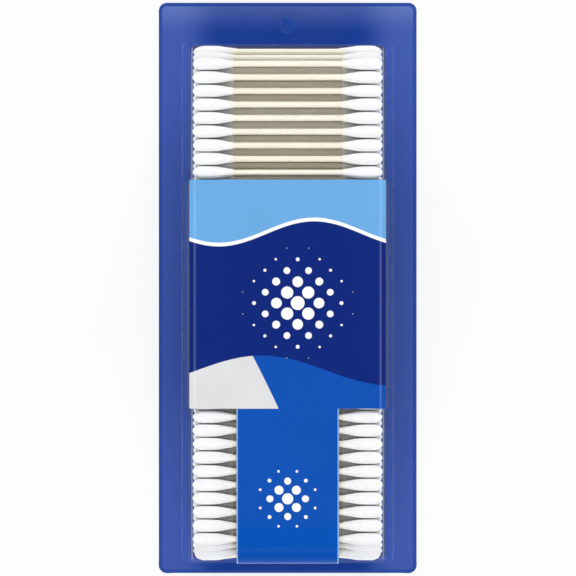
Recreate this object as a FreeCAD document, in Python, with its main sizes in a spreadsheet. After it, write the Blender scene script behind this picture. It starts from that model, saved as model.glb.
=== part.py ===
import FreeCAD, Part
import math
import os

from FreeCAD import Placement, Rotation, Vector

# A card-backed clear blister full of cotton swabs, lying on its back as it comes to rest.
# X runs across the pack, along the swabs. Y runs up the pack and Z out of its front.
# The origin is on the surface below the middle of the flange. All sizes are millimetres.

# Each driving dimension: its name, its value and what it measures.
DIMENSIONS = (
    ("flange_length", 239.0, "flange, top edge to bottom edge"),
    ("side_margin", 10.35, "flange beside the foot of the box, to its folded edge"),
    ("flange_corner", 3.4, "corner radius of the flange"),
    ("film", 0.4, "thickness of the clear blister"),
    ("side_lip", 6.5, "folded lip behind each long edge, over its fold"),
    ("bottom_lip", 4.2, "folded lip behind the bottom edge, over its fold"),
    ("lip_setback", 5.0, "how far each lip stops short of the corners"),
    ("card_thickness", 0.5, "printed backing card"),
    ("card_gap", 0.15, "running gap above and below the card"),
    ("card_side_gap", 0.1, "running gap between the card's edge and each fold"),
    ("card_top_inset", 0.5, "card's top edge inside the flange's"),
    ("card_corner", 2.6, "corner radius of the card"),
    ("tip_gap", 0.7, "play between the swabs' tips and the side walls, at the face"),
    ("top_margin", 16.8, "flange above the foot of the box"),
    ("bottom_margin", 4.9, "flange below the foot of the box"),
    ("side_draft", 4.5, "how far each side wall leans in over the rise"),
    ("top_draft", 5.4, "how far the top wall leans in over the rise"),
    ("bottom_draft", 4.8, "how far the bottom wall leans in over the rise"),
    ("end_round", 9.0, "front edge radius along the top and bottom walls"),
    ("wall_round", 3.0, "radius up the box's corners and along its front side edges"),
    ("button_width", 6.7, "round button in the top margin"),
    ("button_height", 0.5, "how far the button stands out"),
    ("button_drop", 9.6, "button's middle below the top edge"),
    ("bead_length", 9.2, "short bead above the button"),
    ("bead_radius", 0.3, "section radius of the bead"),
    ("bead_drop", 4.4, "bead below the top edge"),
    ("swab_length", 76.2, "swab, tip to tip"),
    ("stick_width", 2.45, "paper stick across its corners"),
    ("bud_length", 16.2, "cotton bud, tip to neck"),
    ("bud_width", 4.9, "bud along Y, where it is full"),
    ("bud_height", 4.4, "bud along Z, pressed by the layers"),
    ("nose_length", 1.8, "rounded nose of the bud"),
    ("belly_length", 9.0, "tip to the end of the bud's full part"),
    ("neck_wrap", 0.15, "cotton round the stick at the neck"),
    ("stick_inset", 2.2, "tip of the bud to the stick's end inside it"),
    ("swab_pitch", 5.427, "swab to swab in a layer"),
    ("layer_pitch", 3.8, "layer to layer"),
    ("layers", 13, "number of layers"),
    ("first_swab", 29.9, "top edge of the flange to the first swab of the front layer"),
    ("swab_gap", 0.3, "play between the swabs and what holds them"),
    ("label_thickness", 0.15, "label film"),
    ("glue_line", 0.05, "glue between label and blister"),
    ("label_drop", 76.3, "top edge of the flange to the label's top edge"),
    ("label_length", 91.3, "label's wrap, along Y"),
    ("tongue_width", 40.8, "tongue of the label"),
    ("tongue_hem", 15.0, "tongue's reach down the bottom wall, from the front"),
    ("flap_gap", 1.0, "side flaps of the label end above the flange"),
)

NEAR = 1e-6  # lengths that differ by less are the same
KEY_DIGITS = 5  # decimals to which corners that neighbours share are matched
STICK_SIDES, BUD_SIDES = 6, 8

doc = FreeCAD.newDocument("swab_pack")
sheet = doc.addObject("Spreadsheet::Sheet", "dims")
for row, (alias, number, meaning) in enumerate(DIMENSIONS, start=1):
    sheet.set(f"A{row}", meaning)
    sheet.set(f"B{row}", str(number))
    sheet.setAlias(f"B{row}", alias)
doc.recompute()


def value(expression):
    """What an expression comes to, in millimetres."""
    result = sheet.evalExpression(expression)
    return float(getattr(result, "Value", result))


# Levels above the surface, and edges that several pieces share, as expressions of the dimensions.
STACK = "(2 * dims.film + 2 * dims.card_gap + dims.card_thickness)"
CARD_BOTTOM = "(dims.film + dims.card_gap)"
CARD_TOP = "(dims.film + dims.card_gap + dims.card_thickness)"
PLATE_BOTTOM = f"({STACK} - dims.film)"
LAST_LAYER = f"({CARD_TOP} + dims.swab_gap + dims.bud_height / 2)"
FRONT_LAYER = f"({LAST_LAYER} + (dims.layers - 1) * dims.layer_pitch)"
FACE = f"({FRONT_LAYER} + dims.bud_height / 2 + dims.swab_gap + dims.film)"
RISE = f"({FACE} - {STACK})"
TOP_EDGE = "(dims.flange_length / 2)"
FOOT_HALF = "(dims.swab_length / 2 + dims.tip_gap + dims.film + dims.side_draft)"
SIDE_EDGE = f"({FOOT_HALF} + dims.side_margin)"
FOLD_X = f"({SIDE_EDGE} - {STACK} / 2)"
FOLD_Y = f"(dims.flange_length / 2 - {STACK} / 2)"


def add(kind, name, **sizes):
    """A document object with each size bound to an expression."""
    thing = doc.addObject(kind, name)
    for prop, expression in sizes.items():
        thing.setExpression(prop.replace("__", "."), expression)
    return thing


def boolean(kind, name, first, second):
    """A cut or common of two objects."""
    made = doc.addObject(kind, name)
    made.Base = first
    made.Tool = second
    return made


def fuse(name, *shapes):
    """One solid of several objects that meet."""
    made = doc.addObject("Part::MultiFuse", name)
    made.Shapes = list(shapes)
    made.Refine = True
    return made


def edges_where(shape, test):
    """The numbers of the edges whose middle and ends pass a test."""
    found = []
    for number, edge in enumerate(shape.Edges, start=1):
        ends = [v.Point for v in edge.Vertexes]
        middle = edge.valueAt((edge.FirstParameter + edge.LastParameter) / 2)
        if len(ends) == 2 and test(ends[0], middle, ends[1]):
            found.append(number)
    return found


def rounded(name, base, radii):
    """Base with its edges rounded; radii gives (edge, first radius, last radius)."""
    made = doc.addObject("Part::Fillet", name)
    made.Base = base
    made.Edges = radii
    return made


def upright(low, middle, high):
    """True for an edge that runs straight up."""
    return abs(low.x - high.x) < NEAR and abs(low.y - high.y) < NEAR


def plate(name, half_width, bottom_y, top_y, low, thickness, corner):
    """A flat plate with four rounded corners."""
    block = add("Part::Box", f"{name}_block", Length=f"2 * {half_width}", Width=f"{top_y} - {bottom_y}",
                Height=thickness, Placement__Base__x=f"-{half_width}", Placement__Base__y=bottom_y,
                Placement__Base__z=low)
    doc.recompute()
    radius = value(corner)
    return rounded(name, block, [(n, radius, radius) for n in edges_where(block.Shape, upright)])


def side_wall(level, grow):
    """Half width of the box at a level, with its walls moved out by grow."""
    return f"({FOOT_HALF} - dims.side_draft * ({level} - {STACK}) / {RISE} + {grow})"


def top_wall(level, grow):
    """Where the top wall stands at a level."""
    return f"({TOP_EDGE} - dims.top_margin - dims.top_draft * ({level} - {STACK}) / {RISE} + {grow})"


def bottom_wall(level, grow):
    """Where the bottom wall stands at a level."""
    return f"(dims.bottom_margin - {TOP_EDGE} + dims.bottom_draft * ({level} - {STACK}) / {RISE} - {grow})"


def dome(name, grow, low):
    """The blister's drafted and rounded box as a solid, from a level up, its walls moved out by grow."""
    high = f"({FACE} + {grow})"
    wedge = add("Part::Wedge", f"{name}_wedge", Ymin=low, Ymax=high,
                Xmin=f"-{side_wall(low, grow)}", Xmax=side_wall(low, grow),
                X2min=f"-{side_wall(high, grow)}", X2max=side_wall(high, grow),
                Zmin=f"-{top_wall(low, grow)}", Zmax=f"-{bottom_wall(low, grow)}",
                Z2min=f"-{top_wall(high, grow)}", Z2max=f"-{bottom_wall(high, grow)}")
    wedge.Placement = Placement(Vector(), Rotation(Vector(1, 0, 0), 90))
    doc.recompute()
    face = value(high)

    def across_front(first, middle, last):
        return min(first.z, last.z) > face - NEAR and abs(first.y - last.y) < NEAR

    end = value(f"dims.end_round + {grow}")
    ends = rounded(f"{name}_ends", wedge, [(n, end, end) for n in edges_where(wedge.Shape, across_front)])
    doc.recompute()

    wall = value(f"dims.wall_round + {grow}")

    def round_the_side(first, middle, last):
        return max(first.z, last.z) > value(low) + NEAR and abs(middle.x) > NEAR

    return rounded(name, ends, [(n, wall, wall) for n in edges_where(ends.Shape, round_the_side)])


# Clear blister: the folded lips, the flange, the box, the button and the bead are one formed sheet.

LIP_SIDES = {
    "right": (FOLD_X, "0", 0, "dims.side_lip", "dims.flange_length"),
    "left": (f"-{FOLD_X}", "0", 180, "dims.side_lip", "dims.flange_length"),
    "bottom": ("0", f"-{FOLD_Y}", -90, "dims.bottom_lip", f"2 * {SIDE_EDGE}"),
}


def folded_lip(side):
    """The edge of the sheet folded back round the card: a half round bend and a flat lip."""
    x, y, turn, lip, edge = LIP_SIDES[side]
    length = f"({edge} - 2 * dims.lip_setback)"
    about = Rotation(Vector(0, 0, 1), turn)
    lying = about.multiply(Rotation(Vector(1, 1, 1), -120))
    start = about.multVec(Vector(0, -value(length) / 2, 0)) + Vector(value(x), value(y), 0)
    bend_parts = []
    for name, radius in (("outside", f"{STACK} / 2"), ("inside", f"{STACK} / 2 - dims.film")):
        half = add("Part::Cylinder", f"{side}_bend_{name}", Radius=radius, Height=length)
        half.Angle = 180
        half.Placement = Placement(start + Vector(0, 0, value(f"{STACK} / 2")), lying)
        bend_parts.append(half)
    bend = boolean("Part::Cut", f"{side}_bend", *bend_parts)
    reach = f"({lip} - {STACK} / 2)"
    flat = add("Part::Box", f"{side}_flat_lip", Length=reach, Width=length, Height="dims.film")
    flat.Placement = Placement(start + about.multVec(Vector(-value(reach), 0, 0)), about)
    return bend, flat


def flange():
    """The flat margin, cut back to the fold lines where the lips are."""
    whole = plate("flange_plate", SIDE_EDGE, f"-{TOP_EDGE}", TOP_EDGE, PLATE_BOTTOM, "dims.film",
                  "dims.flange_corner")
    strips = []
    for side, (x, y, turn, lip, edge) in LIP_SIDES.items():
        length = f"({edge} - 2 * dims.lip_setback)"
        strip = add("Part::Box", f"{side}_strip", Length=STACK, Width=length, Height=STACK)
        about = Rotation(Vector(0, 0, 1), turn)
        start = about.multVec(Vector(0, -value(length) / 2, 0)) + Vector(value(x), value(y), 0)
        strip.Placement = Placement(start + Vector(0, 0, value(STACK) / 2), about)
        strips.append(strip)
    return boolean("Part::Cut", "flange", whole, fuse("fold_strips", *strips))


def blister():
    """The whole formed sheet."""
    box = dome("box_outside", "0", PLATE_BOTTOM)
    hollow = dome("box_inside", "(-dims.film)", PLATE_BOTTOM)
    button_y = f"{TOP_EDGE} - dims.button_drop"
    button, dent = (
        add("Part::Cone", name, Radius1=f"dims.button_width / 2 - {less}",
            Radius2=f"dims.button_width / 2 - {less} - dims.button_height", Height="dims.button_height",
            Placement__Base__y=button_y, Placement__Base__z=level)
        for name, less, level in (("button", "0", STACK), ("button_dent", "dims.film / 2", PLATE_BOTTOM)))
    bead = add("Part::Cylinder", "bead", Radius="dims.bead_radius", Height="dims.bead_length",
               Placement__Base__x="-dims.bead_length / 2", Placement__Base__y=f"{TOP_EDGE} - dims.bead_drop",
               Placement__Base__z=STACK)
    bead.Placement.Rotation = Rotation(Vector(0, 1, 0), 90)
    lips = [piece for side in LIP_SIDES for piece in folded_lip(side)]
    sheet_solid = fuse("formed_sheet", flange(), box, button, bead, *lips)
    return boolean("Part::Cut", "blister", sheet_solid, fuse("hollows", hollow, dent))


def backing_card():
    """The printed card between the flange and its lips, which slides out at the top."""
    return plate("backing_card", f"({FOLD_X} - dims.card_side_gap)",
                 f"-({FOLD_Y} - dims.card_side_gap)", f"({TOP_EDGE} - dims.card_top_inset)",
                 CARD_BOTTOM, "dims.card_thickness", "dims.card_corner")


def label():
    """Film glued round the front and sides of the box, with a tongue over its lower front edge."""
    low = f"({STACK} + dims.flap_gap)"
    outside = dome("label_outside", "(dims.glue_line + dims.label_thickness)", low)
    inside = dome("label_inside", "dims.glue_line", low)
    wrap_top = f"({TOP_EDGE} - dims.label_drop)"
    wrap = add("Part::Box", "label_wrap", Length=f"2 * {SIDE_EDGE}", Width="dims.label_length",
               Height=FACE, Placement__Base__x=f"-{SIDE_EDGE}",
               Placement__Base__y=f"{wrap_top} - dims.label_length", Placement__Base__z=low)
    tongue = add("Part::Box", "label_tongue", Length="dims.tongue_width",
                 Width=f"{TOP_EDGE} + {wrap_top} - dims.label_length", Height="dims.tongue_hem + dims.film",
                 Placement__Base__x="-dims.tongue_width / 2", Placement__Base__y=f"-{TOP_EDGE}",
                 Placement__Base__z=f"{FACE} - dims.tongue_hem")
    return boolean("Part::Common", "label", boolean("Part::Cut", "label_skin", outside, inside),
                   fuse("label_cut", wrap, tongue))


# Swabs. They lie in layers, each layer's swabs in the hollows between those of the next, and a layer
# holds as many as fit between the drafted end walls and under their rounded front edges.

def fits_under(y, z):
    """Whether a bud at this place clears the box's end walls and their rounded front edges."""
    inside = "(-dims.film - dims.swab_gap / 2)"
    half_pitch = value("dims.swab_pitch / 2")
    high = value(f"{FACE} - dims.film - dims.swab_gap / 2")
    radius = value("dims.end_round - dims.film - dims.swab_gap / 2")
    level = f"({z})"
    for wall, away in ((top_wall, 1), (bottom_wall, -1)):
        edge, corner = value(wall(level, inside)), value(wall(f"({high})", inside))
        if away * (y + away * half_pitch) > away * edge:
            return False
        lean = math.atan2(value("dims.top_draft" if away > 0 else "dims.bottom_draft"), value(RISE))
        centre_y = corner - away * radius * math.tan((math.pi / 2 - lean) / 2)
        centre_z = high - radius
        out_y, out_z = away * (y - centre_y), z - centre_z
        if out_y > 0 and out_z > 0:
            reach = math.hypot(out_y + value("dims.bud_width / 2") * math.cos(math.pi / 4),
                               out_z + value("dims.bud_height / 2") * math.sin(math.pi / 4))
            if reach > radius:
                return False
    return True


def layer(number):
    """The middles of one layer's swabs, as (y, z), from the pack's top down; layer 0 is the front one."""
    pitch = value("dims.swab_pitch")
    z = value(FRONT_LAYER) - number * value("dims.layer_pitch")
    first = value(f"{TOP_EDGE} - dims.first_swab") + (number % 2) * pitch / 2
    most = int(value("dims.flange_length") / pitch)
    rows = (first - step * pitch for step in range(-most, most))
    return [(y, z) for y in rows if fits_under(y, z)]


def solid_of(faces):
    """A closed solid of flat faces that share their edges."""
    shell = Part.makeShell(faces)
    shell.sewShape()
    solid = Part.makeSolid(Part.Shell(shell.Faces))
    if solid.Volume < 0:
        solid.reverse()
    return solid


def ring(x, half_width, half_height, corners):
    """Corners of a flattened regular polygon across X, one of them towards +Y."""
    turns = (2 * math.pi * k / corners for k in range(corners))
    return [Vector(x, half_width * math.cos(a), half_height * math.sin(a)) for a in turns]


def outline(points):
    """A closed wire through points."""
    return Part.makePolygon(list(points) + [points[0]])


def band(first, last):
    """Flat faces between two rings with as many corners."""
    turned = zip(first, first[1:] + first[:1], last[1:] + last[:1], last)
    return [Part.Face(outline(corners)) for corners in turned]


def stick():
    """One paper stick along X, with its ends inside the buds."""
    radius = value("dims.stick_width / 2")
    half = value("dims.swab_length / 2 - dims.stick_inset")
    left, right = (ring(x, radius, radius, STICK_SIDES) for x in (-half, half))
    return solid_of(band(left, right) + [Part.Face(outline(left)), Part.Face(outline(right))])


def bud(away):
    """One cotton bud, wound on the stick's end: a domed nose, a full belly and a taper to the neck."""
    tip = value("dims.swab_length / 2")
    wide, tall = value("dims.bud_width / 2"), value("dims.bud_height / 2")
    neck = value("dims.stick_width / 2 + dims.neck_wrap") / tall
    nose = value("dims.nose_length")
    stations = ((nose, 1), (value("dims.belly_length"), 1), (value("dims.bud_length"), neck))
    rings = [ring(away * (tip - inward), share * wide, share * tall, BUD_SIDES)
             for inward, share in stations]
    apex = Vector(away * tip, 0, 0)
    faces = [Part.Face(outline([a, b, apex])) for a, b in zip(rings[0], rings[0][1:] + rings[0][:1])]
    for first, last in zip(rings, rings[1:]):
        faces += band(first, last)
    radius = value("dims.stick_width / 2")
    mouth, end = (ring(away * (tip - value(inward)), radius, radius, STICK_SIDES)
                  for inward in ("dims.bud_length", "dims.stick_inset"))
    faces.append(Part.makeFace([outline(rings[-1]), outline(mouth)], "Part::FaceMakerBullseye"))
    faces += band(mouth, end) + [Part.Face(outline(end))]
    return solid_of(faces)


def row_of(name, master):
    """The front layer's copies of one piece, as separate solids."""
    made = doc.addObject("Part::Feature", name)
    made.Shape = Part.makeCompound([master.translated(Vector(0, y, z)) for y, z in layer(0)])
    made.Placement = Placement()
    return made


def cell(y, z, top, bottom):
    """Corners (y, z) of the six-sided space that a bud has among its neighbours, flat where it has none."""
    pitch, rise = value("dims.swab_pitch"), value("dims.layer_pitch")
    point = pitch ** 2 / (8 * rise)
    tall = value("dims.bud_height / 2")
    up = tall if top else rise / 2 + point
    down = tall if bottom else rise / 2 + point
    side = rise / 2 - point
    return [(y + dy, z + dz) for dy, dz in ((pitch / 2, side), (0, up), (-pitch / 2, side),
                                            (-pitch / 2, -side), (0, -down), (pitch / 2, -side))]


def inner_layers():
    """The layers behind the front one."""
    return [layer(number) for number in range(1, int(value("dims.layers")))]


def toggle(border, edge):
    """Adds an edge of a patch to its border, or takes out the same edge of the patch beside it."""
    first, last = edge
    if (last, first) in border:
        border.remove((last, first))
    else:
        border.add(edge)


def loop_of(border):
    """The corners of a border in order."""
    follows = dict(border)
    loop = [min(follows)]
    while follows[loop[-1]] != loop[0]:
        loop.append(follows[loop[-1]])
    return loop


def behind_label(y):
    """Whether the label's side flaps hide what lies at this height."""
    top = f"{TOP_EDGE} - dims.label_drop"
    return value(f"{top} - dims.label_length") < y < value(top)


def inner_buds(name, away):
    """The buds behind the front layer on one side, pressed together into one body.
    Each has its own nose, apart from those that the label's flap hides, whose ends are one flat."""
    tip, shoulder, back = (away * value(f"dims.swab_length / 2 - {inward}")
                           for inward in ("0", "dims.nose_length", "dims.belly_length"))
    layers = inner_layers()
    faces, border, flat_border = [], set(), set()
    for number, places in enumerate(layers):
        for y, z in places:
            hexagon = cell(y, z, number == 0, number == len(layers) - 1)
            corners = [(round(cy, KEY_DIGITS), round(cz, KEY_DIGITS)) for cy, cz in hexagon]
            for edge in zip(corners, corners[1:] + corners[:1]):
                toggle(border, edge)
                if behind_label(y):
                    toggle(flat_border, edge)
                else:
                    first, last = (Vector(shoulder, *point) for point in edge)
                    faces.append(Part.Face(outline([first, last, Vector(tip, y, z)])))
    rim = loop_of(border)
    for a, b in zip(rim, rim[1:] + rim[:1]):
        corners = [Vector(shoulder, *a), Vector(shoulder, *b), Vector(back, *b), Vector(back, *a)]
        faces.append(Part.Face(outline(corners)))
    faces.append(Part.Face(outline([Vector(back, *point) for point in rim])))
    faces.append(Part.Face(outline([Vector(shoulder, *point) for point in loop_of(flat_border)])))
    made = doc.addObject("Part::Feature", name)
    made.Shape = solid_of(faces)
    made.Placement = Placement()
    return made


def inner_sticks():
    """The sticks behind the front layer, joined into one ribbed body between the buds."""
    radius = value("dims.stick_width / 2")
    half = value("dims.swab_length / 2 - dims.belly_length")
    layers = inner_layers()
    front, back = layers[0], layers[-1]
    points = []
    for y, z in front:
        points += [(y + radius, z), (y, z + radius), (y - radius, z)]
    points += [(places[-1][0] - radius, places[-1][1]) for places in layers[1:-1]]
    for y, z in reversed(back):
        points += [(y - radius, z), (y, z - radius), (y + radius, z)]
    points += [(places[0][0] + radius, places[0][1]) for places in reversed(layers[1:-1])]
    face = Part.Face(outline([Vector(-half, *p) for p in points]))
    made = doc.addObject("Part::Feature", "inner_sticks")
    made.Shape = face.extrude(Vector(2 * half, 0, 0))
    made.Placement = Placement()
    return made


def swabs():
    """Every swab: the front layer one by one, and the layers behind it as bundles."""
    return [
        row_of("front_sticks", stick()),
        row_of("front_buds_left", bud(-1)),
        row_of("front_buds_right", bud(1)),
        inner_sticks(),
        inner_buds("inner_buds_left", -1),
        inner_buds("inner_buds_right", 1),
    ]


pieces = [backing_card(), blister(), label()] + swabs()
doc.recompute()
for piece in pieces:
    piece.Label = piece.Name

for thing in doc.Objects:
    if any(state in ("Invalid", "Error") for state in thing.State):
        raise RuntimeError(f"{thing.Name} failed: {thing.State}")
os.makedirs("parts", exist_ok=True)
for piece in pieces:
    shape = piece.Shape
    if shape.isNull() or not shape.isValid():
        raise RuntimeError(f"{piece.Name} has no valid shape")
    shape.exportStep(f"parts/{piece.Name}.step")
    print(piece.Name, len(shape.Solids), "solids,", len(shape.Faces), "faces,", round(shape.Volume), "mm3")
counts = [len(layer(number)) for number in range(int(value("dims.layers")))]
print("swabs in the layers:", counts, sum(counts))
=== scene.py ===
import math
import random

import bmesh
import bpy
from mathutils import Matrix, Vector


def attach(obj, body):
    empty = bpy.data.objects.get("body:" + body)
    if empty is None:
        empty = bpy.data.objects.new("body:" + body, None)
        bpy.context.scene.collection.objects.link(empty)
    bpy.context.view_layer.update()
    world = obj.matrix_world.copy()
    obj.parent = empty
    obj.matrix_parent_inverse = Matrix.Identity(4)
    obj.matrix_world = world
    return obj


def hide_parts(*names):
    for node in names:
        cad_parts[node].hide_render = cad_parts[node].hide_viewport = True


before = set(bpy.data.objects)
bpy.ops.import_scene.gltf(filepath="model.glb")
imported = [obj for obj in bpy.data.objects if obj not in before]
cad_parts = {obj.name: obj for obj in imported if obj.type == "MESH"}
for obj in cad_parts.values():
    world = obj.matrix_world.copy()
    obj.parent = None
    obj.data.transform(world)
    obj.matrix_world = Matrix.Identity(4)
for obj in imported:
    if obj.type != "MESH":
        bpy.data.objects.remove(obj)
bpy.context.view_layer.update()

MM = 0.001  # sizes below are millimetres, as on the maker's drawing

# Clear blister, as it is drawn for the mould
FILM = 0.4
STACK = 1.6  # lip, card and flange together
SIDE_EDGE, END_EDGE = 54.05, 119.5
FLANGE_CORNER = 3.4
FOOT_HALF, FOOT_TOP, FOOT_BOTTOM = 43.7, 102.7, -114.6
FACE = 52.05
RISE = FACE - STACK
SIDE_DRAFT, TOP_DRAFT, BOTTOM_DRAFT = 4.5, 5.4, 4.8
END_ROUND, WALL_ROUND, FOOT_ROUND = 9.0, 3.0, 0.9
SIDE_LIP, BOTTOM_LIP, LIP_SETBACK, LIP_STEP = 6.5, 4.2, 5.0, 0.05
FOLD = STACK / 2  # the lips' outer radius
CARD_MIDDLE = STACK / 2
BUTTON_PLACE, BUTTON_RADIUS = END_EDGE - 9.6, 3.35
BEAD_PLACE, BEAD_HALF, BEAD_RADIUS = END_EDGE - 4.4, 4.3, 0.3

# Swabs
TIP = 38.1
STICK_RADIUS, STICK_INSET, CRIMP = 1.2, 2.2, 0.2
BUD_HALF_WIDTH, BUD_HALF_HEIGHT = 2.45, 2.2
SWAB_PITCH, LAYER_PITCH, LAYERS = 5.427, 3.8, 13
FIRST_SWAB, SWAB_GAP = 29.9, 0.3
ROWS = range(-4, 44)  # more than fit: the blister's walls decide
FRONT_LAYER = FACE - FILM - SWAB_GAP - BUD_HALF_HEIGHT
# Along a bud from its neck: distance from the tip, and the share of its full thickness. The fine
# buds are subdivided, which draws them in, and the shares allow for that.
FINE_BUD = ((17.0, 0.56), (15.2, 0.63), (13.4, 0.75), (11.4, 0.92), (9.4, 1.04), (6.6, 1.09), (4.2, 1.09),
            (2.4, 1.01), (1.1, 0.72), (0.3, 0.36))
PLAIN_BUD = ((17.0, 0.56), (13.0, 0.75), (9.4, 0.98), (3.2, 1.0), (1.0, 0.62))

# Label
LABEL_TOP, LABEL_BOTTOM = 43.2, -48.1
GLUE, LABEL_FILM = 0.05, 0.15
TONGUE_HALF, TONGUE_HEM = 20.4, 15.0
SIDE_FOLD = FOOT_HALF - SIDE_DRAFT  # the label's side flaps are blue from here out, with painted shade just past the fold
FLAP_END = STACK + 1.0

# Light
ROOM_LIGHT = 0.41
FLOOR_SIZE, FLOOR_GLOW = 6, 0.75  # metres, and the glow's share of the floor as the camera sees it
LENS = 153.9
CAMERA = (0.00013, 0, 1.0334)


# Modelling by hand

def place(x, y, z):
    """A point of the drawing in Blender's metres."""
    return Vector((x, y, z)) * MM


def deselect():
    bpy.ops.object.select_all(action="DESELECT")


def choose(*pieces):
    """Selects these pieces alone and makes the first one active."""
    deselect()
    for piece in pieces:
        piece.select_set(True)
    bpy.context.view_layer.objects.active = pieces[0]


def edit(piece):
    """Opens one piece in edit mode, alone."""
    choose(piece)
    bpy.ops.object.mode_set(mode="EDIT")


def leave_edit():
    bpy.ops.object.mode_set(mode="OBJECT")


def middle(item):
    """The middle of a vert, edge or face, in millimetres."""
    if isinstance(item, bmesh.types.BMVert):
        return item.co / MM
    if isinstance(item, bmesh.types.BMEdge):
        return (item.verts[0].co + item.verts[1].co) / 2 / MM
    return item.calc_center_median() / MM


def pick_items(piece, what, test):
    """In edit mode, selects the verts, edges or faces that pass a test."""
    bpy.ops.mesh.select_mode(type={"verts": "VERT", "edges": "EDGE", "faces": "FACE"}[what])
    bpy.ops.mesh.select_all(action="DESELECT")
    mesh = bmesh.from_edit_mesh(piece.data)
    for item in getattr(mesh, what):
        item.select_set(test(item))
    mesh.select_flush_mode()
    bmesh.update_edit_mesh(piece.data)


def pick(piece, what, test):
    """In edit mode, selects the verts, edges or faces whose middle passes a test."""
    pick_items(piece, what, lambda item: test(middle(item)))


def face_outwards():
    """In edit mode, turns all faces outwards."""
    bpy.ops.mesh.select_all(action="SELECT")
    bpy.ops.mesh.normals_make_consistent(inside=False)


def near(a, b, within=0.02):
    return abs(a - b) < within


def move(x, y, z):
    bpy.ops.transform.translate(value=place(x, y, z))


def extrude(x, y, z):
    bpy.ops.mesh.extrude_region_move(TRANSFORM_OT_translate={"value": place(x, y, z)})


def bevel(radius, lean, segments):
    """Rounds the picked edges of a wall that leans by lean to a radius."""
    offset = radius / math.tan(math.pi / 4 + lean / 2)
    bpy.ops.mesh.bevel(offset=offset * MM, offset_type="OFFSET", segments=segments, profile=0.5,
                       affect="EDGES", clamp_overlap=False)


def cut(piece, what, point, normal):
    """Cuts the picked faces along a plane."""
    pick(piece, "faces", what)
    bpy.ops.mesh.bisect(plane_co=place(*point), plane_no=normal, use_fill=False, threshold=1e-6)


def modify(piece, kind, **settings):
    """Adds a modifier and applies it."""
    choose(piece)
    bpy.ops.object.modifier_add(type=kind)
    modifier = piece.modifiers[-1]
    for name, value in settings.items():
        setattr(modifier, name, value)
    bpy.ops.object.modifier_apply(modifier=modifier.name)


def smooth(piece, degrees=40):
    choose(piece)
    bpy.ops.object.shade_smooth_by_angle(angle=math.radians(degrees))


def thicken(sheet, thickness):
    """Makes a closed solid of an open sheet, inwards from it."""
    modify(sheet, "SOLIDIFY", thickness=thickness * MM, offset=-1, use_quality_normals=True)


def even_shading(piece):
    """Keeps large flats flat beside their rounds."""
    smooth(piece)
    modify(piece, "WEIGHTED_NORMAL", keep_sharp=True, weight=90)


def join(name, pieces):
    """Joins pieces into one that sits at the origin."""
    choose(*pieces)
    bpy.ops.object.join()
    bpy.ops.object.transform_apply(location=True, rotation=True, scale=True)
    pieces[0].name = name
    return pieces[0]


def duplicate(piece, name):
    """A copy with a mesh of its own."""
    twin = piece.copy()
    twin.data = piece.data.copy()
    twin.name = name
    bpy.context.collection.objects.link(twin)
    return twin


# Clear blister

def box_sheet():
    """The drafted box of the blister as an open sheet: two large rounds at its ends, small ones elsewhere."""
    deselect()
    length = FOOT_TOP - FOOT_BOTTOM
    centre = place(0, (FOOT_TOP + FOOT_BOTTOM) / 2, STACK + RISE / 2)
    bpy.ops.mesh.primitive_cube_add(size=1, location=centre, scale=place(2 * FOOT_HALF, length, RISE))
    box = bpy.context.object
    box.name = "box_sheet"
    bpy.ops.object.transform_apply(location=True, rotation=True, scale=True)
    edit(box)
    pick(box, "faces", lambda p: near(p.z, FACE))
    bpy.ops.transform.resize(value=(1 - SIDE_DRAFT / FOOT_HALF, 1 - (TOP_DRAFT + BOTTOM_DRAFT) / length, 1))
    move(0, (BOTTOM_DRAFT - TOP_DRAFT) / 2, 0)
    pick(box, "faces", lambda p: near(p.z, STACK))
    bpy.ops.mesh.delete(type="FACE")
    for end, draft in ((1, TOP_DRAFT), (-1, BOTTOM_DRAFT)):
        pick(box, "edges", lambda p: near(p.z, FACE) and near(p.x, 0) and end * p.y > 0)
        bevel(END_ROUND, math.atan2(draft, RISE), 12)
    for side in (1, -1):
        pick(box, "edges", lambda p: side * p.x > TIP and p.z > STACK + 0.1)
        bevel(WALL_ROUND, math.atan2(SIDE_DRAFT, RISE) / 2, 6)
    leave_edit()
    return box


def spread_flange(sheet):
    """Draws the foot of the box out to the flange's edge, corner by corner."""
    edit(sheet)
    pick(sheet, "edges", lambda p: near(p.z, STACK))
    extrude(0, 0, 0)
    for side in (1, -1):
        for end, foot in ((1, FOOT_TOP), (-1, FOOT_BOTTOM)):
            def on_rim(vert):
                p = middle(vert)
                open_edge = any(len(edge.link_faces) == 1 for edge in vert.link_edges)
                return open_edge and side * p.x > 0 and end * p.y > 0

            pick_items(sheet, "verts", on_rim)
            move(side * (SIDE_EDGE - FOOT_HALF), end * END_EDGE - foot, 0)
            rim = [middle(vert) for vert in bmesh.from_edit_mesh(sheet.data).verts if vert.select]
            across = SIDE_EDGE - min(abs(p.x) for p in rim)
            along = END_EDGE - min(abs(p.y) for p in rim)
            bpy.ops.transform.resize(value=(FLANGE_CORNER / across, FLANGE_CORNER / along, 1),
                                     center_override=place(side * SIDE_EDGE, end * END_EDGE, STACK))
    leave_edit()


def fold_lip(sheet, x, y, reach):
    """Folds one edge of the flange round the card and back under it."""
    edge = Vector((x, y, 0))
    away = edge.normalized()
    up = Vector((0, 0, 1))

    def on_edge(p):
        along, end = (p.x, SIDE_EDGE) if y else (p.y, END_EDGE)
        between_corners = abs(along) < end - LIP_SETBACK + 0.01
        return near(p.dot(away), edge.length) and near(p.z, STACK) and between_corners

    pick(sheet, "edges", on_edge)
    move(*(-FOLD * away))
    centre = edge + FOLD * (up - away)
    bpy.ops.mesh.spin(steps=8, angle=math.pi, center=centre * MM, axis=away.cross(up))
    extrude(*(-(reach - FOLD) * away))


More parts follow.
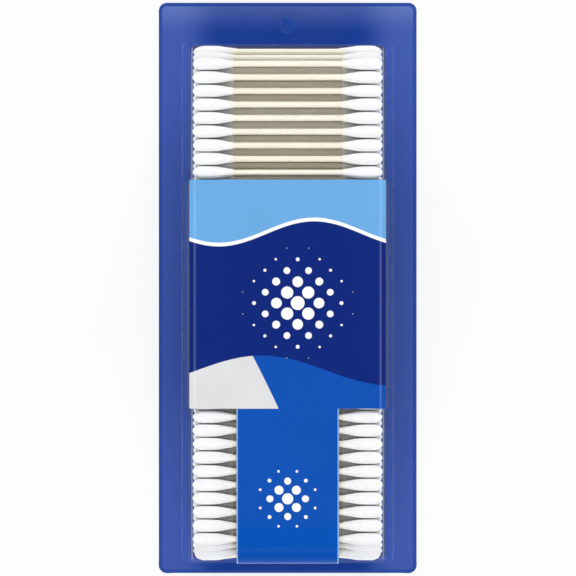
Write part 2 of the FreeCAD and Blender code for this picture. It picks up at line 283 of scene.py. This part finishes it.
def raised_forms():
    """The round button in the top margin, and the short bead above it."""
    deselect()
    bpy.ops.mesh.primitive_circle_add(vertices=32, radius=BUTTON_RADIUS * MM, fill_type="NGON",
                                      location=place(0, BUTTON_PLACE, STACK - 0.05))
    button = bpy.context.object
    edit(button)
    bpy.ops.mesh.select_all(action="SELECT")
    for share in (0.96, 0.9):
        extrude(0, 0, 0.25)
        bpy.ops.transform.resize(value=(share, share, 1))
    bpy.ops.mesh.inset(thickness=0.5 * MM)
    move(0, 0, -0.1)
    leave_edit()
    deselect()
    bpy.ops.mesh.primitive_uv_sphere_add(segments=12, ring_count=8, radius=BEAD_RADIUS * MM,
                                         location=place(0, BEAD_PLACE, STACK))
    bead = bpy.context.object
    edit(bead)
    for side in (1, -1):
        pick(bead, "verts", lambda p: side * p.x > 0.01)
        move(side * BEAD_HALF, 0, 0)
    leave_edit()
    return [button, bead]


def on_foot(p):
    """Whether a point lies on the line where the box stands on the flange."""
    return FOOT_BOTTOM - 0.1 < p.y < FOOT_TOP + 0.1 and abs(p.x) < FOOT_HALF + 0.1


def blister():
    """The whole formed sheet, from the box out to its folded lips."""
    sheet = box_sheet()
    label_sheet = duplicate(sheet, "wrap_label")
    spread_flange(sheet)
    edit(sheet)
    pick(sheet, "edges", lambda p: near(p.z, STACK) and on_foot(p))
    bpy.ops.mesh.bevel(offset=FOOT_ROUND * MM, offset_type="OFFSET", segments=3, profile=0.5, affect="EDGES")

    def flange_only(p):
        return near(p.z, STACK)

    for setback in (LIP_SETBACK, LIP_SETBACK - LIP_STEP):
        for away in (1, -1):
            cut(sheet, flange_only, (0, away * (END_EDGE - setback), 0), (0, 1, 0))
            cut(sheet, flange_only, (away * (SIDE_EDGE - setback), 0, 0), (1, 0, 0))
    fold_lip(sheet, SIDE_EDGE, 0, SIDE_LIP)
    fold_lip(sheet, -SIDE_EDGE, 0, SIDE_LIP)
    fold_lip(sheet, 0, -END_EDGE, BOTTOM_LIP)
    face_outwards()
    leave_edit()
    thicken(sheet, FILM)
    whole = join("clear_blister", [sheet] + raised_forms())
    even_shading(whole)
    return whole, label_sheet


def label(sheet):
    """Film glued round the box: a wrap, and a tongue that runs over the lower front edge."""
    edit(sheet)
    face_outwards()
    bpy.ops.transform.shrink_fatten(value=(GLUE + LABEL_FILM) * MM)

    def everything(p):
        return True

    def below_wrap(p):
        return p.y < LABEL_BOTTOM

    for y in (LABEL_TOP, LABEL_BOTTOM):
        cut(sheet, everything, (0, y, 0), (0, 1, 0))
    for side in (1, -1):
        cut(sheet, below_wrap, (side * TONGUE_HALF, 0, 0), (1, 0, 0))
    cut(sheet, everything, (0, 0, FLAP_END), (0, 0, 1))
    cut(sheet, below_wrap, (0, 0, FACE - TONGUE_HEM), (0, 0, 1))

    def trimmed_off(p):
        wrap = LABEL_BOTTOM < p.y < LABEL_TOP and p.z > FLAP_END
        tongue = below_wrap(p) and abs(p.x) < TONGUE_HALF and p.z > FACE - TONGUE_HEM
        return not (wrap or tongue)

    pick(sheet, "faces", trimmed_off)
    bpy.ops.mesh.delete(type="FACE")
    leave_edit()
    thicken(sheet, LABEL_FILM)
    even_shading(sheet)
    return sheet


# Swabs

def stick_blank(sides):
    """One paper stick along X, its ends crimped where the cotton holds them."""
    deselect()
    end = TIP - STICK_INSET
    bpy.ops.mesh.primitive_cylinder_add(vertices=sides, radius=STICK_RADIUS * MM, depth=2 * end * MM,
                                        rotation=(0, math.pi / 2, 0))
    stick = bpy.context.object
    bpy.ops.object.transform_apply(location=True, rotation=True, scale=True)
    edit(stick)
    for side in (1, -1):
        pick(stick, "faces", lambda p: near(side * p.x, end))
        bpy.ops.mesh.inset(thickness=0.25 * MM)
        move(side * CRIMP, 0, 0)
    leave_edit()
    smooth(stick)
    return stick


def bud_blank(sides, stations):
    """One cotton bud at +X, drawn out ring by ring from its neck to the tip."""
    deselect()
    (neck, share), *rest = stations
    bpy.ops.mesh.primitive_circle_add(vertices=sides, radius=MM, fill_type="NGON",
                                      rotation=(0, math.pi / 2, 0), location=place(TIP - neck, 0, 0))
    bud = bpy.context.object
    bud.scale = (BUD_HALF_HEIGHT * share, BUD_HALF_WIDTH * share, 1)
    bpy.ops.object.transform_apply(location=True, rotation=True, scale=True)
    edit(bud)
    bpy.ops.mesh.select_all(action="SELECT")
    for inward, full in rest:
        extrude(neck - inward, 0, 0)
        bpy.ops.transform.resize(value=(1, full / share, full / share))
        neck, share = inward, full
    extrude(neck, 0, 0)
    bpy.ops.mesh.merge(type="CENTER")
    face_outwards()
    leave_edit()
    return bud


def fits_under(y, z):
    """Whether a bud at this place clears the end walls and their rounded front edges."""
    clear = FILM + SWAB_GAP / 2
    high, radius = FACE - clear, END_ROUND - clear
    for end, foot, draft in ((1, FOOT_TOP, TOP_DRAFT), (-1, -FOOT_BOTTOM, BOTTOM_DRAFT)):
        out = end * y
        if out + SWAB_PITCH / 2 > foot - draft * (z - STACK) / RISE - clear:
            return False
        corner = foot - draft * (high - STACK) / RISE - clear
        lean = math.atan2(draft, RISE)
        away = out - corner + radius * math.tan(math.pi / 4 - lean / 2)
        up = z - high + radius
        if away > 0 and up > 0:
            half = math.sqrt(0.5)
            if math.hypot(away + BUD_HALF_WIDTH * half, up + BUD_HALF_HEIGHT * half) > radius:
                return False
    return True


def layer(number):
    """The middles (y, z) of one layer's swabs, each in the hollow between two of the next layer's."""
    z = FRONT_LAYER - number * LAYER_PITCH
    first = END_EDGE - FIRST_SWAB + (number % 2) * SWAB_PITCH / 2
    rows = (first - step * SWAB_PITCH for step in ROWS)
    return [(y, z) for y in rows if fits_under(y, z)]


def lay(name, blank, places, seed, side=1):
    """Copies of a blank in their places, each turned and shifted a little, joined into one piece."""
    chance = random.Random(seed)
    copies = []
    for y, z in places:
        twin = duplicate(blank, name)
        turn = Matrix.Rotation(chance.uniform(-0.12, 0.12), 4, "X")
        shift = place(chance.uniform(-0.16, 0.1), y + chance.uniform(-0.06, 0.06), z)
        twin.data.transform(Matrix.Translation((side * shift.x, shift.y, shift.z)) @ turn)
        copies.append(twin)
    return join(name, copies)


def turned_over(blank, name):
    """The same bud at -X."""
    twin = duplicate(blank, name)
    twin.data.transform(Matrix.Rotation(math.pi, 4, "Z"))
    return twin


def swab_pieces():
    """All the swabs: their sticks, left buds and right buds. The two front layers, which show, are finer."""
    fine_stick, plain_stick = stick_blank(16), stick_blank(8)
    fine_right, plain_right = bud_blank(12, FINE_BUD), bud_blank(8, PLAIN_BUD)
    fine_left, plain_left = turned_over(fine_right, "fine_left"), turned_over(plain_right, "plain_left")
    blanks = [fine_stick, plain_stick, fine_right, plain_right, fine_left, plain_left]
    behind = [spot for number in range(2, LAYERS) for spot in layer(number)]
    sets = (
        ("front", layer(0), fine_stick, fine_left, fine_right),
        ("second", layer(1), fine_stick, fine_left, fine_right),
        ("inner", behind, plain_stick, plain_left, plain_right),
    )
    sticks, left_buds, right_buds = [], [], []
    for name, places, stick, left, right in sets:
        seed = len(places)
        sticks.append(lay(f"{name}_sticks", stick, places, seed))
        left_buds.append(lay(f"{name}_left", left, places, seed + 1, -1))
        right_buds.append(lay(f"{name}_right", right, places, seed + 2))
    for buds in (left_buds, right_buds):
        for piece in buds[:2]:
            modify(piece, "SUBSURF", levels=1, render_levels=1)
    for blank in blanks:
        bpy.data.objects.remove(blank)
    whole = (join("paper_sticks", sticks), join("cotton_left", left_buds), join("cotton_right", right_buds))
    for piece in whole:
        smooth(piece, 60)
    return whole


# Finishes

class Nodes:
    """A node tree under construction."""

    def __init__(self, tree):
        self.nodes = tree.nodes
        self.links = tree.links

    def add(self, kind, **settings):
        node = self.nodes.new(kind)
        for name, value in settings.items():
            setattr(node, name, value)
        return node

    def join(self, value, socket):
        """Sets a socket to a number or colour, or links an output to it."""
        if isinstance(value, bpy.types.NodeSocket):
            self.links.new(value, socket)
        else:
            socket.default_value = value

    def sum(self, operation, *values):
        """A sum on numbers."""
        node = self.add("ShaderNodeMath", operation=operation)
        for value, socket in zip(values, node.inputs):
            self.join(value, socket)
        return node.outputs[0]

    def distance(self, across, up):
        """The length of a step across and up."""
        squares = [self.sum("POWER", value, 2.0) for value in (across, up)]
        return self.sum("SQRT", self.sum("ADD", *squares))

    def between(self, value, level):
        """How far a value is from a level, either way."""
        return self.sum("ABSOLUTE", self.sum("SUBTRACT", value, level))

    def ramp(self, value, low, high, start=0.0, end=1.0):
        """Goes smoothly from start to end as value goes from low to high."""
        node = self.add("ShaderNodeMapRange", interpolation_type="SMOOTHSTEP")
        for number, socket in zip((value, low, high, start, end), node.inputs):
            self.join(number, socket)
        return node.outputs["Result"]


class Finish(Nodes):
    """A material under construction: its nodes and one surface shader."""

    def __init__(self, name):
        self.material = bpy.data.materials.new(name)
        self.material.use_nodes = True
        super().__init__(self.material.node_tree)
        self.surface = self.nodes["Principled BSDF"]
        self.output = self.nodes["Material Output"]
        self.here = self.add("ShaderNodeTexCoord").outputs["Object"]

    def finish(self, shader):
        """Ends the material in a shader of its own and gives it back."""
        self.links.new(shader.outputs[0], self.output.inputs[0])
        return self.material

    def mix(self, share, first, second):
        """First shader, going over to the second as share goes from 0 to 1."""
        node = self.add("ShaderNodeMixShader")
        self.join(share, node.inputs[0])
        self.links.new(first.outputs[0], node.inputs[1])
        self.links.new(second.outputs[0], node.inputs[2])
        return node

    def blend(self, share, first, second):
        """First colour, going over to the second as share goes from 0 to 1."""
        node = self.add("ShaderNodeMix", data_type="RGBA")
        self.join(share, node.inputs["Factor"])
        self.join(first, node.inputs["A"])
        self.join(second, node.inputs["B"])
        return node.outputs["Result"]

    def noise(self, scale, detail=2.0, stretch=(1, 1, 1)):
        """Noise of so many grains to a metre, or stretched."""
        mapping = self.add("ShaderNodeMapping")
        mapping.inputs["Scale"].default_value = stretch
        self.links.new(self.here, mapping.inputs["Vector"])
        node = self.add("ShaderNodeTexNoise")
        node.inputs["Scale"].default_value = scale
        node.inputs["Detail"].default_value = detail
        self.links.new(mapping.outputs["Vector"], node.inputs["Vector"])
        return node.outputs["Fac"]

    def crevice_shade(self, low, high):
        """Painted shade: goes from 0 deep between the swabs to 1 where they lie open, by ambient occlusion of
        the piece itself.
        """
        node = self.add("ShaderNodeAmbientOcclusion", samples=4, only_local=True)
        node.inputs["Distance"].default_value = 8 * MM
        return self.ramp(node.outputs["AO"], low, high)

    def bump(self, height, depth, shader=None):
        """Relief of so many millimetres."""
        node = self.add("ShaderNodeBump")
        node.inputs["Distance"].default_value = depth * MM
        self.links.new(height, node.inputs["Height"])
        self.links.new(node.outputs["Normal"], (shader or self.surface).inputs["Normal"])

    def set(self, **values):
        """Sockets of the surface shader, with _ for a space."""
        for name, value in values.items():
            self.join(value, self.surface.inputs[name.replace("_", " ")])

    def outside(self, half_x, low_y, high_y, corner):
        """How far the place is outside a rounded rectangle, in millimetres: less than 0 inside."""
        x, y = self.place()[:2]
        sides = ((self.sum("ABSOLUTE", x), half_x),
                 (self.between(y, (high_y + low_y) / 2), (high_y - low_y) / 2))
        past = [self.sum("MAXIMUM", self.sum("SUBTRACT", value, half - corner), 0.0) for value, half in sides]
        return self.sum("SUBTRACT", self.distance(*past), corner)

    def place(self):
        """The place on the pack in millimetres."""
        node = self.add("ShaderNodeSeparateXYZ")
        self.links.new(self.here, node.inputs[0])
        return [self.sum("DIVIDE", output, MM) for output in node.outputs]


def ink(red, green, blue):
    """A printed colour, from its 0 to 255 screen values."""
    return tuple(((v / 255 + 0.055) / 1.055) ** 2.4 if v > 10 else v / 255 / 12.92
                 for v in (red, green, blue)) + (1.0,)


def clear_film():
    """Clear formed plastic: see-through, glossy, faintly hazy, with a painted highlight as a paler line along
    the bend of its side walls, and blue at its rim, which carries the card's colour."""
    film = Finish("clear_plastic")
    film.nodes.remove(film.surface)
    x, y, z = film.place()
    ray = film.add("ShaderNodeLightPath")
    lighting = film.sum("MAXIMUM", ray.outputs["Is Shadow Ray"], ray.outputs["Is Diffuse Ray"])
    seen = film.sum("SUBTRACT", 1.0, lighting)  # light passes the film as if it weren't there

    clear = film.add("ShaderNodeBsdfTransparent")
    clear.inputs["Color"].default_value = (0.995, 0.997, 1, 1)
    gloss = film.add("ShaderNodeBsdfGlossy")
    gloss.inputs["Color"].default_value = (0.76, 0.87, 1, 1)
    gloss.inputs["Roughness"].default_value = 0.08
    film.bump(film.noise(60, 1.0), 0.02, gloss)
    edge_on = film.sum("POWER", film.add("ShaderNodeLayerWeight").outputs["Facing"], 14.0)
    face_foot = FOOT_BOTTOM + BOTTOM_DRAFT
    away_from_foot = film.ramp(y, face_foot + 0.8, face_foot + 6.8, 0.08, 0.36)
    mirror = film.sum("MULTIPLY_ADD", edge_on, away_from_foot, 0.03)
    shine = film.mix(film.sum("MULTIPLY", mirror, seen), clear, gloss)

    body = film.add("ShaderNodeBsdfDiffuse")
    from_edge = film.outside(SIDE_EDGE, -END_EDGE, END_EDGE, FLANGE_CORNER)
    rim = film.ramp(from_edge, -1.6, -1.1)
    tint = film.ramp(from_edge, -1.8, -1.6)
    film.join(film.blend(tint, ink(190, 205, 240), ink(46, 76, 158)), body.inputs["Color"])
    # painted highlight: a pale line of diffuse film along the rounded front edge of each side wall
    from_bend = film.between(film.sum("ABSOLUTE", x), SIDE_FOLD - 1.05)
    bend_highlight = film.sum("MULTIPLY", film.ramp(z, FACE - 6, FACE - 3), film.ramp(from_bend, 0.2, 0.5, 0.2, 0.0))
    haze = film.ramp(film.noise(25, 1.0), 0.3, 0.7, 0.002, 0.007)
    cover = film.sum("MAXIMUM", film.sum("ADD", haze, bend_highlight), rim)
    return film.finish(film.mix(film.sum("MULTIPLY", cover, seen), shine, body))


def card_print():
    """Blue print under a painted sheen that makes it paler towards the outer edges and the top. Its front
    also has a plain round spot under the button, which the painted sheen leaves out, a painted shadow line
    under the bead and painted shade, a darker ground, beneath the swabs."""
    card = Finish("printed_card")
    x, y, z = card.place()
    front = card.ramp(z, CARD_MIDDLE - 0.1, CARD_MIDDLE + 0.1)
    back = card.sum("SUBTRACT", 1.0, front)
    # painted sheen: the print is paler towards the outer sides and the top edge, darker next to the box
    side = card.ramp(card.sum("ABSOLUTE", x), FOOT_HALF - 16, FOOT_HALF + 2, 0.0, 0.18)
    top = card.ramp(y, FOOT_TOP + 3.3, END_EDGE + 1.5, 0.0, 0.3)
    spot = card.distance(x, card.sum("SUBTRACT", y, BUTTON_PLACE))
    beside_spot = card.sum("MAXIMUM", card.ramp(spot, BUTTON_RADIUS - 0.25, BUTTON_RADIUS + 0.15), back)
    # painted shadow: a thin darker line on the card just under the bead
    along_bead = card.ramp(card.sum("ABSOLUTE", x), BEAD_HALF - 0.1, BEAD_HALF + 0.3, 1.0, 0.0)
    below_bead = card.ramp(card.between(y, BEAD_PLACE - 0.2), 0.1, 0.3, 0.2, 0.0)
    bead_shadow = card.sum("MULTIPLY", card.sum("MULTIPLY", along_bead, below_bead), front)
    pale = card.sum("SUBTRACT", card.sum("ADD", side, top), bead_shadow)
    mottle = card.sum("ADD", pale, card.ramp(card.noise(30, 3.0), 0.2, 0.8, -0.01, 0.015))
    ground = card.blend(mottle, ink(4, 60, 160), ink(134, 154, 214))
    printed = card.blend(beside_spot, ink(22, 76, 184), ground)
    # painted shade: the front of the card turns dark navy beneath the swabs
    from_swabs = card.outside(FOOT_HALF - 2.6, FOOT_BOTTOM + 1.5, FOOT_TOP - 0.8, 1.5)
    clear_of_swab_shade = card.sum("MAXIMUM", card.ramp(from_swabs, -0.6, 0.2), back)
    card.set(Base_Color=card.blend(clear_of_swab_shade, ink(6, 30, 104), printed), Roughness=0.5, Specular_IOR_Level=0.15)
    card.bump(card.noise(1800, 3.0), 0.02)
    return card.material


def label_print():
    """The label's print: plain waves of colour, and bursts of round dots on its face and its tongue. Its side
    flaps are blue, with painted shade just past the fold.
    """
    film = Finish("label_film")
    x, y = film.place()[:2]
    across = film.sum("ABSOLUTE", x)

    def wave(level, height, length, start):
        """How far the place is above a wavy line."""
        angle = film.sum("ADD", film.sum("MULTIPLY", x, 2 * math.pi / length), start)
        line = film.sum("ADD", film.sum("MULTIPLY", film.sum("SINE", angle), height), level)
        return film.sum("SUBTRACT", y, line)

    def dots(centre_x, centre_y, reach, largest, pitch):
        """Round dots on a diagonal grid, largest at a centre."""
        step = (film.sum("SUBTRACT", x, centre_x), film.sum("SUBTRACT", y, centre_y))
        slant_pitch = pitch * math.sqrt(2)
        slants = [film.sum("DIVIDE", film.sum(way, *step), slant_pitch) for way in ("ADD", "SUBTRACT")]
        offsets = [film.sum("SUBTRACT", slant, film.sum("ROUND", slant)) for slant in slants]
        from_dot = film.sum("MULTIPLY", film.distance(*offsets), pitch)
        size = film.ramp(film.distance(*step), 0.0, reach, largest, 0.0)
        return film.ramp(film.sum("SUBTRACT", size, from_dot), 0.0, 0.15)

    navy, mid, light = ink(8, 37, 120), ink(8, 80, 178), ink(108, 170, 226)
    pale, white = ink(222, 222, 224), ink(250, 250, 250)
    upper = wave(23, 5.0, 76, 0.7)
    lower = wave(-33, 6.0, 104, 2.2)
    corner = film.ramp(film.sum("ADD", x, film.sum("MULTIPLY", lower, 0.5)), -14.0, -13.8)
    colour = film.blend(film.ramp(film.sum("ADD", upper, 1.5), 0.0, 0.15), navy, white)
    colour = film.blend(film.ramp(upper, 0.0, 0.15), colour, light)
    foot = film.blend(corner, pale, mid)
    colour = film.blend(film.ramp(lower, 0.0, 0.15), foot, colour)
    colour = film.blend(dots(4, -6, 27, 2.9, 6.2), colour, white)
    tongue = film.blend(dots(0, -84, 17, 2.4, 5.2), mid, white)
    edge = film.ramp(across, TONGUE_HALF - 0.6, TONGUE_HALF - 0.4)
    tongue = film.blend(edge, tongue, ink(140, 180, 230))
    colour = film.blend(film.ramp(y, LABEL_BOTTOM - 0.1, LABEL_BOTTOM + 0.1), tongue, colour)
    # painted shade: the side flaps are dark navy just past the fold, mid blue further out
    flap_with_shade = film.blend(film.ramp(across, SIDE_FOLD + 0.6, SIDE_FOLD + 1.0), ink(4, 32, 98), ink(30, 64, 134))
    colour = film.blend(film.ramp(across, SIDE_FOLD, SIDE_FOLD + 0.1), colour, flap_with_shade)
    tone = film.ramp(film.noise(40, 3.0), 0.2, 0.8, 0.0, 0.05)
    gloss = film.sum("MINIMUM", film.ramp(across, SIDE_FOLD - 1.6, SIDE_FOLD - 0.8, 0.5, 0.05),
                     film.ramp(y, FOOT_BOTTOM + 16, FOOT_BOTTOM + 24, 0.05, 0.5))
    film.set(Base_Color=film.blend(tone, colour, ink(0, 0, 0)), Roughness=0.2, Specular_IOR_Level=gloss)
    film.bump(film.noise(140, 1.0), 0.04)
    return film.material


def rolled_paper():
    """Cream paper rolled tight: fine grain along the stick, a little tone from stick to stick, and painted
    shade deep between the swabs.
    """
    paper = Finish("paper_stick")
    tone = paper.noise(70, 1.0, (0.05, 1, 1))
    grain = paper.noise(900, 4.0, (0.12, 1, 1))
    base = paper.blend(paper.ramp(tone, 0.3, 0.7), ink(255, 246, 226), ink(255, 251, 236))
    colour = paper.blend(paper.ramp(grain, 0.35, 0.7, 0.0, 0.14), base, ink(222, 208, 180))
    # painted shade: the paper darkens to a brown grey deep between the swabs
    paper.set(Base_Color=paper.blend(paper.crevice_shade(0.05, 0.35), ink(132, 116, 92), colour), Roughness=0.8)
    paper.bump(grain, 0.02)
    return paper.material


def wound_cotton():
    """White cotton wound round the stick: soft lumps, fibres that run round the bud, the paper showing
    through at the neck, and painted shade deep between the swabs."""
    cotton = Finish("cotton")
    lumps = cotton.noise(450, 3.0, (1.4, 1, 1))
    fibres = cotton.noise(3000, 4.0, (1, 0.3, 0.3))
    relief = cotton.sum("ADD", cotton.sum("MULTIPLY", lumps, 0.7), cotton.sum("MULTIPLY", fibres, 0.3))
    white = cotton.blend(cotton.ramp(relief, 0.3, 0.7), ink(246, 246, 246), ink(253, 253, 253))
    neck = cotton.ramp(cotton.sum("ABSOLUTE", cotton.place()[0]), TIP - 17.0, TIP - 14.0)
    colour = cotton.blend(neck, ink(255, 249, 232), white)
    # painted shade: the cotton darkens to grey deep between the swabs
    cotton.set(Base_Color=cotton.blend(cotton.crevice_shade(0.08, 0.4), ink(122, 122, 122), colour), Roughness=1.0,
               Sheen_Weight=0.25, Sheen_Roughness=0.6, Specular_IOR_Level=0.1)
    cotton.bump(relief, 0.16)
    return cotton.material


# Studio

def floor():
    """A pale floor that stays near white to the camera and keeps the pack's shadow."""
    deselect()
    bpy.ops.mesh.primitive_plane_add(size=FLOOR_SIZE)
    ground = bpy.context.object
    ground.name = "floor"
    pale = Finish("pale_floor")
    pale.set(Base_Color=pale.blend(pale.noise(8), ink(236, 236, 238), ink(242, 242, 243)), Roughness=0.9)
    ray = pale.add("ShaderNodeLightPath")
    seen = pale.sum("MAXIMUM", ray.outputs["Is Camera Ray"],
                    pale.sum("MAXIMUM", ray.outputs["Is Glossy Ray"], ray.outputs["Is Transmission Ray"]))
    share = pale.sum("MULTIPLY", seen, FLOOR_GLOW)
    ground.data.materials.append(pale.finish(pale.mix(share, pale.surface, pale.add("ShaderNodeEmission"))))


def softbox(name, where, width, length, watts):
    """A rectangular lamp that faces the pack."""
    lamp = bpy.data.lights.new(name, "AREA")
    lamp.shape = "RECTANGLE"
    lamp.size, lamp.size_y = width, length
    lamp.energy = watts
    holder = bpy.data.objects.new(name, lamp)
    holder.location = where
    holder.rotation_euler = (-Vector(where)).to_track_quat("-Z", "Y").to_euler()
    holder.visible_glossy = False  # gloss mirrors the room instead
    bpy.context.collection.objects.link(holder)


def studio_world():
    """An even pale room. What gloss mirrors is a dark ceiling with a bright screen on either side."""
    world = bpy.data.worlds.new("studio")
    world.use_nodes = True
    bpy.context.scene.world = world
    room = Nodes(world.node_tree)
    way = room.add("ShaderNodeSeparateXYZ")
    room.join(room.add("ShaderNodeTexCoord").outputs["Generated"], way.inputs[0])
    sideways, lengthways = (room.sum("ABSOLUTE", way.outputs[axis]) for axis in "XY")
    near_side, far_side = room.ramp(sideways, 0.1, 0.4, 0.0, 2.4), room.ramp(sideways, 0.5, 0.8, 1.0, 0.0)
    screen = room.sum("MULTIPLY", near_side, far_side)
    screen = room.sum("MULTIPLY", screen, room.ramp(lengthways, 0.25, 0.55, 1.0, 0.0))
    ceiling = room.ramp(way.outputs["Z"], 0.2, 0.9, 0.2, 0.04)
    strength = room.add("ShaderNodeMix")
    room.join(room.add("ShaderNodeLightPath").outputs["Is Glossy Ray"], strength.inputs["Factor"])
    room.join(ROOM_LIGHT, strength.inputs["A"])
    room.join(room.sum("ADD", ceiling, screen), strength.inputs["B"])
    back = room.nodes["Background"]
    room.join((1, 1, 1, 1), back.inputs["Color"])
    room.join(strength.outputs["Result"], back.inputs["Strength"])


def camera():
    """Straight above the pack, far off, as the photographer stood."""
    lens = bpy.data.cameras.new("camera")
    lens.lens = LENS
    holder = bpy.data.objects.new("camera", lens)
    holder.location = CAMERA
    bpy.context.collection.objects.link(holder)
    bpy.context.scene.camera = holder


def dress(piece, material, nodes):
    """Gives a piece its material and slot, sets it on the tray and lets it stand for its CAD nodes."""
    piece.data.materials.clear()
    piece.data.materials.append(material)
    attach(piece, "tray")
    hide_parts(*nodes)


clear_blister, label_sheet = blister()
dress(clear_blister, clear_film(), ["blister"])
dress(label(label_sheet), label_print(), ["label"])
sticks, left_buds, right_buds = swab_pieces()
dress(sticks, rolled_paper(), ["front_sticks", "inner_sticks"])
cotton = wound_cotton()
dress(left_buds, cotton, ["front_buds_left", "inner_buds_left"])
dress(right_buds, cotton, ["front_buds_right", "inner_buds_right"])
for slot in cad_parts["backing_card"].material_slots:
    slot.material = card_print()

floor()
studio_world()
softbox("left_softbox", (-1.3, 0, 0.14), 1.0, 0.12, 2.5)
softbox("right_softbox", (1.3, 0, 0.14), 1.0, 0.12, 2.5)
softbox("top_softbox", (0, 1.1, 1.15), 1.2, 0.5, 14.0)
softbox("bottom_softbox", (0, -1.1, 1.15), 1.2, 0.5, 12.0)
camera()
bpy.context.scene.view_settings.view_transform = "Standard"
